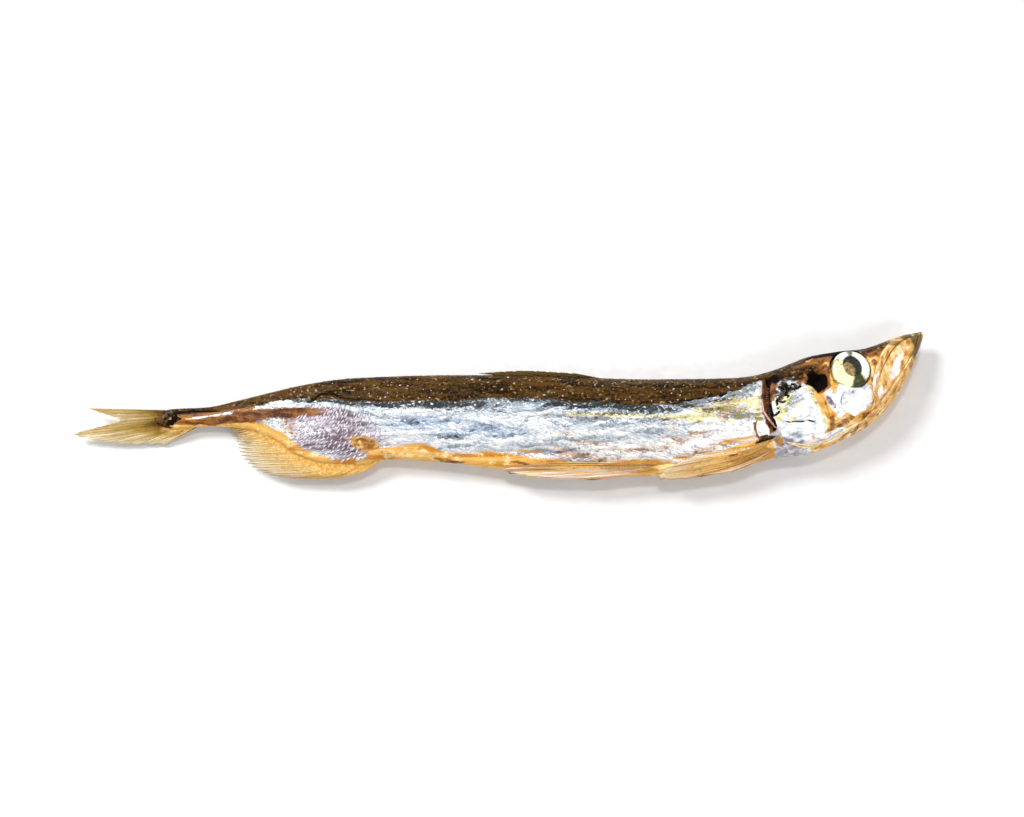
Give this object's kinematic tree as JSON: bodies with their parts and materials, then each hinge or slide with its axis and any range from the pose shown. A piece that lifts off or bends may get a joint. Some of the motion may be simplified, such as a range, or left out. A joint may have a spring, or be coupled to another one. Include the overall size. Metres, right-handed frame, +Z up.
{
  "type": "dried capelin",
  "caption": "Whole small dried fish lying on its side, head lifted, with silver flanks, a brown back, an amber belly and straw-coloured fins.",
  "frame": {"origin": "middle of the fish's box in plan, on the surface it lies on", "axes": "+X towards the head, +Y towards the back of the fish, +Z up, out of its shown right flank"},
  "size_m": [0.1498, 0.0264, 0.0093],
  "materials": {
    "dried_skin": "dried silvery fish skin with a soft oily gloss"
  },
  "bodies": {
    "root": {"capelin": "dried_skin"}
  },
  "joints": []
}
